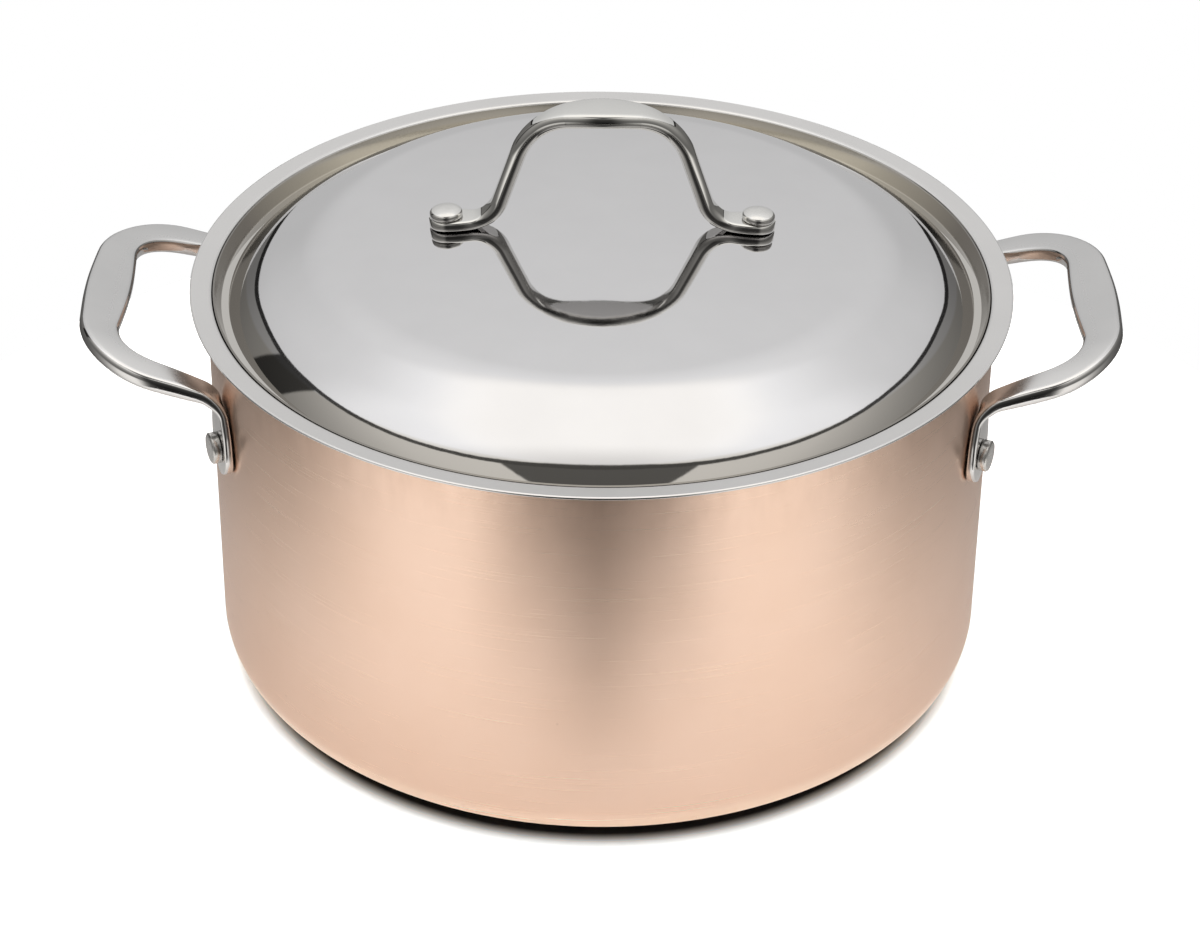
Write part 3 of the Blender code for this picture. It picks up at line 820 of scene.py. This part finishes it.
print("pattern helpers ready")

# %% [markdown]
# ## Grain as a shared effect
#
# Every metal here carries fine lines from the belt or wheel that finished it. The effect is
# built once as a node group. It stretches a noise so that it changes quickly in one direction
# and slowly in the others, and gives out the lines, for roughness and bump, and a broad soft
# mottle, for uneven tone. Round pieces pass in height minus radius, so their lines run round
# the pot on the wall and in rings on the base and the lip.

# %% Node group: spun grain
def make_spun_grain():
    group = bpy.data.node_groups.new("spun grain", "ShaderNodeTree")
    face = group.interface
    for name, usual in (("Fineness", 3000.0), ("Run", 14.0), ("Mottle Size", 25.0)):
        taken = face.new_socket(name, in_out="INPUT", socket_type="NodeSocketFloat")
        taken.default_value = usual
    for name in ("Lines", "Mottle"):
        face.new_socket(name, in_out="OUTPUT", socket_type="NodeSocketFloat")
    settings = group.nodes.new("NodeGroupInput").outputs
    place = on_piece(group)
    run = {0: flattened(group, place), "Scale": settings["Run"]}
    run_x, run_y, _ = parts(group, add(group, "VectorMath", run, operation="SCALE").outputs[0])
    down = calc(group, "SUBTRACT", parts(group, place)["Z"], from_axis(group, place))
    fine = calc(group, "MULTIPLY", down, settings["Fineness"])
    stretched = add(group, "CombineXYZ", {"X": run_x, "Y": run_y, "Z": fine}).outputs[0]
    fill(group, group.nodes.new("NodeGroupOutput"), {
        "Lines": noise(group, stretched, 1.0, 3.0, 0.6),
        "Mottle": noise(group, place, settings["Mottle Size"], 4.0),
    })
    return group


spun_grain = make_spun_grain()
print("group sockets:", [item.name for item in spun_grain.interface.items_tree])

# %% [markdown]
# ## Metal finishes
#
# A metal is told apart by the colour of its reflection and by how sharp that reflection is.
# Every finish below starts from plain numbers on the shader's own sockets, and nodes then
# vary colour and roughness a little over the piece, as polishing and use do.

# %% Start of a metal
def metal(name, colour, roughness):
    """A metal, its node tree and its shader, with plain values to start from."""
    made = bpy.data.materials.new(name)
    made.use_nodes = True
    made.diffuse_color = (*colour, 1.0)
    tree = made.node_tree
    shader = tree.nodes["Principled BSDF"]
    fill(tree, shader, {"Base Color": colour, "Metallic": 1.0, "Roughness": roughness})
    return made, tree, shader


def add_grain(tree, fineness, run, mottle_size):
    """The shared grain with this metal's own values: its lines and its mottle."""
    values = {"Fineness": fineness, "Run": run, "Mottle Size": mottle_size}
    grain = add(tree, "Group", values, node_tree=spun_grain).outputs
    return grain["Lines"], grain["Mottle"]


def report(made):
    print(made.name, "has", len(made.node_tree.nodes), "nodes")


print("every metal starts from one shader")

# %% [markdown]
# ## Brushed copper
#
# The wall was brushed with a belt while the pot turned, so its reflections smear up and down
# the wall. That is a rough, anisotropic surface with its tangent running round the axis. Just
# under the lip the copper is painted darker in upright streaks, as painted shade from the lip's
# overhang, and a few dark specks are spread over it.

# %% Brushed copper
COPPER_DEEP = (0.935, 0.680, 0.535)
COPPER_BRIGHT = (0.965, 0.715, 0.575)
COPPER_UNDER_LIP_SHADE = (0.70, 0.48, 0.36)
STREAK_SCALE = (150.0, 150.0, 55.0)
LIP_SHADE_FROM, LIP_SHADE_TO = 118.0 * MM, 146.0 * MM
copper, tree, shader = metal("brushed copper", (0.95, 0.70, 0.555), 0.32)
lines, mottle = add_grain(tree, 2600.0, 16.0, 22.0)
place = on_piece(tree)
even_tone = tint(tree, vary(tree, mottle), COPPER_DEEP, COPPER_BRIGHT)
# Painted shade: darker copper in upright streaks just under the lip, where its overhang shades the
# wall.
streak_place = add(tree, "Mapping", {"Vector": place, "Scale": STREAK_SCALE}).outputs[0]
shade_streaks = ramp(tree, noise(tree, streak_place, 1.0, 4.0), 0.36, 0.74, 0.0, 0.42)
lip_shade_zone = ramp(tree, parts(tree, place)["Z"], LIP_SHADE_FROM, LIP_SHADE_TO)
cells = add(tree, "TexVoronoi", {"Vector": place, "Scale": 55.0}).outputs["Distance"]
specks = ramp(tree, cells, 0.016, 0.028, 0.45, 0.0)
shade_and_specks = calc(tree, "MAXIMUM", overlap(tree, lip_shade_zone, shade_streaks), specks)
round_pot = add(tree, "Tangent", {}, direction_type="RADIAL", axis="Z").outputs[0]
fill(tree, shader, {
    "Base Color": tint(tree, shade_and_specks, even_tone, COPPER_UNDER_LIP_SHADE),
    "Roughness": vary(tree, lines, 0.27, 0.31),
    "Normal": relief(tree, lines, 0.035, 0.00005),
    "Anisotropic": 0.9,
    "Anisotropic Rotation": 0.25,
    "Tangent": round_pot,
})
report(copper)

# %% [markdown]
# ## Turned satin steel
#
# Liner and lip are one sheet. The lip's flat top is satin from a fine wheel, while its inner
# round and outer edge shine. Both lie at known distances from the axis, so that distance
# picks the roughness.

# %% Satin steel, turned in rings
FLAT_STARTS = (140.8 * MM, 141.4 * MM)
FLAT_ENDS = (147.75 * MM, 147.8 * MM)
turned_steel, tree, shader = metal("turned satin steel", (0.655, 0.645, 0.635), 0.32)
lines, mottle = add_grain(tree, 3600.0, 20.0, 40.0)
out = from_axis(tree, on_piece(tree))
on_flat = overlap(tree, ramp(tree, out, *FLAT_STARTS), ramp(tree, out, *FLAT_ENDS, 1.0, 0.0))
fill(tree, shader, {
    "Base Color": tint(tree, vary(tree, mottle), (0.645, 0.635, 0.625), (0.665, 0.655, 0.645)),
    "Roughness": blend(tree, on_flat, 0.10, vary(tree, lines, 0.29, 0.36)),
    "Normal": relief(tree, lines, 0.03, 0.00002),
})
report(turned_steel)

# %% [markdown]
# ## Mirror steel
#
# The dome is polished until it shows the room. The trough and collar round it are harder to
# reach with a buffing wheel, so they stay a little duller. Their colour is painted darker, as
# painted shade in the groove, and painted warmer and lighter at the back, as a painted
# reflection of the bright back of the studio. Distance from the axis and place towards the back
# pick the tones.

# %% Mirror steel for the lid
TROUGH_STARTS = (127.6 * MM, 128.4 * MM)
COLLAR_STARTS = (LEDGE_OUT, LEDGE_OUT + 0.2 * MM)
LIT_BACK_STARTS = (40.0 * MM, 95.0 * MM)
mirror_steel, tree, shader = metal("mirror steel", (0.635, 0.628, 0.632), 0.035)
lines, mottle = add_grain(tree, 900.0, 9.0, 55.0)
place = on_piece(tree)
out = from_axis(tree, place)
on_collar = ramp(tree, out, *COLLAR_STARTS)
lit_back = ramp(tree, parts(tree, place)["Y"], *LIT_BACK_STARTS)
dome_tone = tint(tree, vary(tree, mottle), (0.628, 0.621, 0.625), (0.642, 0.635, 0.639))
# Painted shade in the trough and collar, and painted light that makes them warmer and lighter at
# the back.
trough_painted_shade = tint(tree, lit_back, (0.54, 0.52, 0.49), (0.67, 0.64, 0.58))
collar_painted_shade = tint(tree, lit_back, (0.25, 0.235, 0.215), (0.52, 0.49, 0.43))
seat_tone_and_shade = tint(tree, ramp(tree, out, *TROUGH_STARTS), dome_tone, trough_painted_shade)
fill(tree, shader, {
    "Base Color": tint(tree, on_collar, seat_tone_and_shade, collar_painted_shade),
    "Roughness": blend(tree, on_collar, vary(tree, lines, 0.028, 0.045), 0.14),
    "Normal": relief(tree, mottle, 0.05, 0.0004),
})
report(mirror_steel)

# %% [markdown]
# ## Handle steel
#
# The flats of a handle were blasted to a fine satin, and its rounded edges polished. How far
# a face points up tells the two apart. The front feet of the side handles are painted lighter,
# as painted light, and the grips painted darker, as painted shade. The lid's loop is polished
# all over, and its colour is warmed a little as a painted warm reflection.

# %% Handle steel: satin on the flats, polished on the rounds
FLAT_FACING = (0.90, 0.955)
LIT_FRONT_RANGE = (-48.0 * MM, -33.0 * MM)
LIT_FOOT_TONES = ((0.68, 0.67, 0.66), (0.705, 0.695, 0.685))
SHADED_GRIP_TONES = ((0.555, 0.55, 0.545), (0.58, 0.573, 0.567))
# Painted warm reflection: the lid loop's tones are warmer than plain steel.
LID_WARM_TINT_TONES = ((0.65, 0.643, 0.622), (0.672, 0.664, 0.642))


def make_handle_steel(name, lit_front, behind, on_rounds, on_flats, grit):
    """Steel in two tones: painted light on the front feet, painted shade over the rest."""
    made, tree, shader = metal(name, lit_front[0], on_rounds)
    place = on_piece(tree)
    facing = add(tree, "NewGeometry", {}).outputs["Normal"]
    flat_share = ramp(tree, parts(tree, facing)["Z"], *FLAT_FACING)
    # Painted light and shade: lighter at the front feet, darker further back.
    into_shade = ramp(tree, parts(tree, place)["Y"], *LIT_FRONT_RANGE)
    blast = noise(tree, place, 1600.0)
    clouds = vary(tree, noise(tree, place, 60.0))
    tones = [tint(tree, clouds, *pair) for pair in (lit_front, behind)]
    fill(tree, shader, {
        "Base Color": tint(tree, into_shade, *tones),
        "Roughness": blend(tree, flat_share, on_rounds, vary(tree, blast, *on_flats)),
        "Normal": relief(tree, overlap(tree, blast, flat_share), grit, 0.00001),
    })
    return made


side_handle_steel = make_handle_steel(
    "side handle steel", LIT_FOOT_TONES, SHADED_GRIP_TONES, 0.07, (0.28, 0.32), 0.012
)
lid_handle_steel = make_handle_steel(
    "lid handle steel", LID_WARM_TINT_TONES, LID_WARM_TINT_TONES, 0.04, (0.11, 0.15), 0.003
)
print("handle finishes:", side_handle_steel.name, "and", lid_handle_steel.name)

# %% [markdown]
# ## Rivet steel
#
# Rivet heads are tumbled, not brushed, so they have no lines, only a soft uneven dullness.
# The lid's rivets were polished together with its loop and are smoother.

# %% Rivet steel
def make_rivet_steel(name, smoothest, roughest):
    made, tree, shader = metal(name, (0.66, 0.65, 0.63), smoothest)
    dull = noise(tree, on_piece(tree), 350.0, 3.0)
    fill(tree, shader, {
        "Base Color": tint(tree, vary(tree, dull), (0.64, 0.63, 0.61), (0.69, 0.68, 0.66)),
        "Roughness": vary(tree, dull, smoothest, roughest),
        "Normal": relief(tree, dull, 0.03, 0.00002),
    })
    return made


side_rivet_steel = make_rivet_steel("side rivet steel", 0.24, 0.30)
lid_rivet_steel = make_rivet_steel("lid rivet steel", 0.11, 0.14)
print("rivet finishes:", side_rivet_steel.name, "and", lid_rivet_steel.name)

# %% [markdown]
# ## Core aluminium
#
# The layer between steel and copper spreads the heat. It is plain rolled sheet that nobody
# sees, so the shared grain on a dull grey metal is enough.

# %% Aluminium core
core_metal, tree, shader = metal("core aluminium", (0.75, 0.75, 0.76), 0.45)
lines, mottle = add_grain(tree, 1500.0, 12.0, 30.0)
fill(tree, shader, {
    "Roughness": vary(tree, lines, 0.38, 0.5), "Normal": relief(tree, lines, 0.08, 0.00005),
})
report(core_metal)

# %% [markdown]
# ## Dress the pieces
#
# Each fine piece gets its finish, rides on the body that carries it, and takes the place of
# its coarse CAD node. The aluminium core never shows, so its CAD node stays as it is and only
# gets a finish.

# %% Finish, ride and replace
dressed = [
    (pot_liner, turned_steel, "pot", "steel_liner", "satin_steel"),
    (copper_outside, copper, "pot", "copper_shell", "brushed_copper"),
    (left_loop, side_handle_steel, "pot", "left_side_handle", "satin_steel"),
    (right_loop, side_handle_steel, "pot", "right_side_handle", "satin_steel"),
    (lid_sheet, mirror_steel, "lid", "lid_dome", "polished_steel"),
    (lid_loop, lid_handle_steel, "lid", "lid_handle", "polished_steel"),
]
for place, pin in side_pins.items():
    dressed.append((pin, side_rivet_steel, "pot", place + "_rivet", "satin_steel"))
for place, pin in lid_pins.items():
    dressed.append((pin, lid_rivet_steel, "lid", place + "_rivet", "polished_steel"))
for piece, finish, body, node, slot in dressed:
    piece.data.materials.clear()
    piece.data.materials.append(finish)
    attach(piece, body)
    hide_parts(node)
core_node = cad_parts["aluminium_core"]
core_node.data.materials.clear()
core_node.data.materials.append(core_metal)
print("pieces dressed:", len(dressed))

# %% [markdown]
# ## Floor
#
# The pot stands on a round sheet of white card. Seen by the camera the card is bright enough
# to turn white, apart from a painted shadow: a tight dark ring under the pot, and a cooler tint
# near the pot against the copper's warm bounce light. Polished metal shows the card too, so for
# the metal it is painted as a lit table: a painted pool of light close to the pot, painted shade
# towards the back and the rim, and a painted shadow in a strip in front of the lens.

# %% Card and its shadow
CARD = 0.315
CARD_RIM = 0.004
PAINTED_SHADOW_SHIFT = (0.0, 6.0 * MM, 0.0)
PAINTED_SHADOW_FADES = (130.5 * MM, 141.5 * MM)
PAINTED_SHADOW = (0.012, 0.013, 0.015)
bpy.ops.object.select_all(action="DESELECT")
bpy.ops.mesh.primitive_circle_add(vertices=128, radius=CARD, fill_type="NGON")
card = bpy.context.object
card.name = "white_card"
bpy.ops.object.mode_set(mode="EDIT")
bpy.ops.mesh.inset(thickness=CARD_RIM)
bpy.ops.object.mode_set(mode="OBJECT")
paper = bpy.data.materials.new("white card")
paper.use_nodes = True
tree = paper.node_tree
tree.nodes.clear()
place = on_piece(tree)
out = from_axis(tree, place)
# Painted shadow: a dark ring under the pot, its middle moved 6 mm back, seen by the camera only.
shifted = add(tree, "VectorMath", {0: place, 1: PAINTED_SHADOW_SHIFT}, operation="ADD").outputs[0]
past_painted_shadow = fade(tree, from_axis(tree, shifted), *PAINTED_SHADOW_FADES)
open_card = tint(tree, ramp(tree, out, 0.146, 0.180), (2.3, 2.62, 2.85), (2.3, 2.3, 2.3))
for_camera = tint(tree, past_painted_shadow, PAINTED_SHADOW, open_card)
print("card radius:", CARD)

# %% Card as the metal shows it
x, y, _ = parts(tree, place)
# Painted light and shade for the metal: bright near the pot, duller to back and rim, painted shadow
# before the lens.
shaded_rim_at_sides = overlap(tree, ramp(tree, out, 0.20, CARD, 0.0, 0.5), ramp(tree, y, -0.22, -0.05))
lens_shadow_strip = ramp(tree, calc(tree, "ABSOLUTE", x), 0.005, 0.06, 0.75, 0.0)
lens_shadow_strip = overlap(tree, ramp(tree, out, 0.19, CARD), lens_shadow_strip)
for_metal = tint(tree, ramp(tree, y, -0.15, 0.10), (1.55, 1.55, 1.55), (0.65, 0.65, 0.65))
for_metal = tint(tree, shaded_rim_at_sides, for_metal, (0.3, 0.3, 0.3))
for_metal = tint(tree, lens_shadow_strip, for_metal, (0.2, 0.2, 0.2))
for_metal = tint(tree, ramp(tree, out, 0.134, 0.152), (2.15, 2.6, 2.8), for_metal)
ray = add(tree, "LightPath", {}).outputs
in_metal = calc(tree, "MAXIMUM", ray["Is Glossy Ray"], ray["Is Transmission Ray"])
surface = add(tree, "BsdfDiffuse", {"Color": (0.8, 0.8, 0.8)}).outputs[0]
for mask, colour in ((ray["Is Camera Ray"], for_camera), (in_metal, for_metal)):
    coat = add(tree, "BsdfDiffuse", {"Color": colour}).outputs[0]
    surface = add(tree, "MixShader", {"Fac": mask, 1: surface, 2: coat}).outputs[0]
add(tree, "OutputMaterial", {"Surface": surface})
card.data.materials.append(paper)
print("card nodes:", len(tree.nodes))

# %% [markdown]
# ## Studio light
#
# Polished metal shows the room, so the light is a studio drawn on the sky with nodes, which
# gives soft edges that lamps can't. Each part of it is a level of grey, picked by how far a
# ray points up and by its turn away from the back.

# %% Sky values by direction
world = bpy.data.worlds.new("studio")
bpy.context.scene.world = world
world.use_nodes = True
sky = world.node_tree
sky.nodes.clear()


def table(value, rows, lowest=0.0, highest=2.0):
    """Read a row (position, level) along a value, eased between the rows."""
    start, end = rows[0][0], rows[-1][0]
    share = calc(sky, "DIVIDE", calc(sky, "SUBTRACT", value, start), end - start)
    node = add(sky, "FloatCurve", {"Value": share})
    curve = node.mapping.curves[0]
    points = [
        ((position - start) / (end - start), (level - lowest) / (highest - lowest))
        for position, level in rows
    ]
    curve.points[0].location = points[0]
    curve.points[1].location = points[-1]
    for point in points[1:-1]:
        curve.points.new(*point)
    for point in curve.points:
        point.handle_type = "AUTO_CLAMPED"
    node.mapping.update()
    return calc(sky, "MULTIPLY_ADD", node.outputs[0], highest - lowest, lowest)


east, north, up = parts(sky, add(sky, "TexCoord", {}).outputs["Generated"])
side = calc(sky, "ABSOLUTE", east)
turn = calc(sky, "ARCTAN2", side, north)
print("a turn of 0 is the back and", round(math.pi, 3), "is the camera's side")

# %% [markdown]
# ## Cloth
#
# White cloth hangs over the pot and down behind it. It is brightest overhead, where the lamp
# shines through, and dims towards the table at the back. At the sides it catches a little
# more light, and towards the camera it gets less.

# %% Cloth overhead and behind
cloth = table(up, [
    (-0.25, 0.57), (0.0, 0.64), (0.17, 0.69), (0.34, 0.79), (0.5, 0.86), (0.64, 0.925),
    (0.77, 1.01), (0.87, 1.11), (0.94, 1.305), (0.966, 1.37), (1.0, 1.42),
])
side_lift = fade(sky, north, 0.42, 0.1, 0.0, 0.22)
front_drop = fade(sky, north, -0.12, -0.345, 0.0, 0.42)
cloth = calc(sky, "ADD", cloth, overlap(sky, side_lift, fade(sky, up, 0.985, 0.90)))
cloth = calc(sky, "SUBTRACT", cloth, front_drop)
print("cloth drawn with", len(sky.nodes), "nodes")

# %% [markdown]
# ## Hem
#
# The cloth ends in a hem that runs low at the back and climbs to the front, and a thin dark
# seam follows it. On the lid this is the sharp line between the bright and the dull part.

# %% Hem of the cloth: its height for each turn away from the back
hem_height = table(turn, [
    (0.0, -0.52), (0.09, -0.38), (0.17, -0.26), (0.297, -0.122), (0.401, 0.0), (0.506, 0.10),
    (0.646, 0.225), (0.803, 0.37), (0.995, 0.50), (1.187, 0.608), (1.431, 0.711), (1.71, 0.799),
    (2.042, 0.870), (2.548, 0.927), (2.95, 0.943), (3.1416, 0.944),
], -0.6, 1.0)
over_hem = calc(sky, "SUBTRACT", up, hem_height)
under_cloth = fade(sky, over_hem, -0.003, 0.003)
past_cloth = calc(sky, "SUBTRACT", 1.0, under_cloth)
seam_width = calc(sky, "MULTIPLY_ADD", up, -0.018, 0.034)
seam = overlap(
    sky, fade(sky, calc(sky, "ADD", over_hem, seam_width), -0.002, 0.002), past_cloth
)
print("hem drawn with", len(sky.nodes), "nodes in all")

# %% [markdown]
# ## Room
#
# Past the cloth is a duller room. Low down it shows the table, which is bright at the front
# left and right and makes the copper glow. Dark things stand in the room: what is behind the
# lens, a doorway over it and a window frame on the left. Where they meet, the darkest wins.

# %% Room beyond the cloth
walls = table(up, [
    (-0.3, 0.18), (0.0, 0.18), (0.26, 0.25), (0.45, 0.36), (0.59, 0.52), (0.69, 0.7),
    (0.79, 0.88), (1.0, 0.97),
])
table_top = table(turn, [
    (0.0, 0.10), (1.15, 0.15), (1.54, 0.32), (1.85, 0.68), (2.13, 1.03), (2.4, 1.10),
    (2.63, 0.7), (2.88, 0.18), (3.1416, 0.02),
])
walls = fade(sky, up, -0.26, -0.06, table_top, walls)
behind_lens = overlap(
    sky, fade(sky, side, 0.46, 0.12), fade(sky, up, 0.76, 0.66), fade(sky, north, 0.0, -0.2)
)
narrowing = calc(sky, "SUBTRACT", calc(sky, "MULTIPLY", up, 1.9), calc(sky, "ADD", side, 1.36))
doorway = overlap(sky, fade(sky, narrowing, -0.012, 0.012), fade(sky, north, 0.0, -0.05))
window = overlap(
    sky, fade(sky, turn, 0.95, 0.97), fade(sky, turn, 1.22, 1.20),
    fade(sky, east, 0.0, -0.05), fade(sky, up, 0.0, 0.05),
)
darkest = calc(sky, "MULTIPLY", behind_lens, 0.82)
for mask, strength in ((doorway, 0.85), (window, 0.88), (seam, 0.9)):
    darkest = calc(sky, "MAXIMUM", darkest, calc(sky, "MULTIPLY", mask, strength))
walls = calc(sky, "MULTIPLY", walls, calc(sky, "SUBTRACT", 1.0, darkest))
print("room drawn with", len(sky.nodes), "nodes in all")

# %% [markdown]
# ## Sky output
#
# The cloth overhead and the room have a warmer white than the cloth behind. The camera itself
# sees plain white instead, as in a catalogue picture.

# %% Sky output
WARM = (1.03, 1.01, 0.975)
WHITE = (1.0, 1.0, 1.0)
studio = fade(sky, under_cloth, 0.0, 1.0, walls, cloth)
is_warm = calc(sky, "MAXIMUM", fade(sky, up, 0.85, 0.96), past_cloth)
drawn = {"Color": tint(sky, is_warm, WHITE, WARM), "Strength": studio}
add(sky, "OutputWorld", {"Surface": add(sky, "MixShader", {
    "Fac": add(sky, "LightPath", {}).outputs["Is Camera Ray"],
    1: add(sky, "Background", drawn).outputs[0],
    2: add(sky, "Background", {"Color": WHITE, "Strength": 1.0}).outputs[0],
}).outputs[0]})
print("sky nodes:", len(sky.nodes))

# %% [markdown]
# ## Camera
#
# The picture is taken from in front of the pot, a little over a metre away, looking down at
# about 32 degrees. A long lens keeps the pot's upright wall nearly upright.

# %% Camera
LOOK_DOWN = math.radians(32.2826)
ROLL = math.radians(0.5739)
DISTANCE = 1.26904
LOOK_HEIGHT = 73.95 * MM
FOCAL_LENGTH = 102.0
FILM_WIDTH = 36.0
PICTURE_WIDTH = 1200
PIXELS_DOWN = 26.2
ahead = Vector((0, math.cos(LOOK_DOWN), -math.sin(LOOK_DOWN)))
level_up = Vector((0, math.sin(LOOK_DOWN), math.cos(LOOK_DOWN)))
sideways = Vector((1, 0, 0))
rolled_right = math.cos(ROLL) * sideways + math.sin(ROLL) * level_up
rolled_up = -math.sin(ROLL) * sideways + math.cos(ROLL) * level_up
lens = bpy.data.cameras.new("photo camera")
lens.lens = FOCAL_LENGTH
lens.sensor_width = FILM_WIDTH
lens.shift_y = -PIXELS_DOWN / PICTURE_WIDTH
camera = bpy.data.objects.new("photo camera", lens)
pose = Matrix((rolled_right, rolled_up, -ahead)).transposed().to_4x4()
pose.translation = Vector((0, 0, LOOK_HEIGHT)) - ahead * DISTANCE
camera.matrix_world = pose
bpy.context.scene.collection.objects.link(camera)
bpy.context.scene.camera = camera
bpy.context.scene.view_settings.view_transform = "Standard"
print("camera at", [round(value, 3) for value in pose.translation])
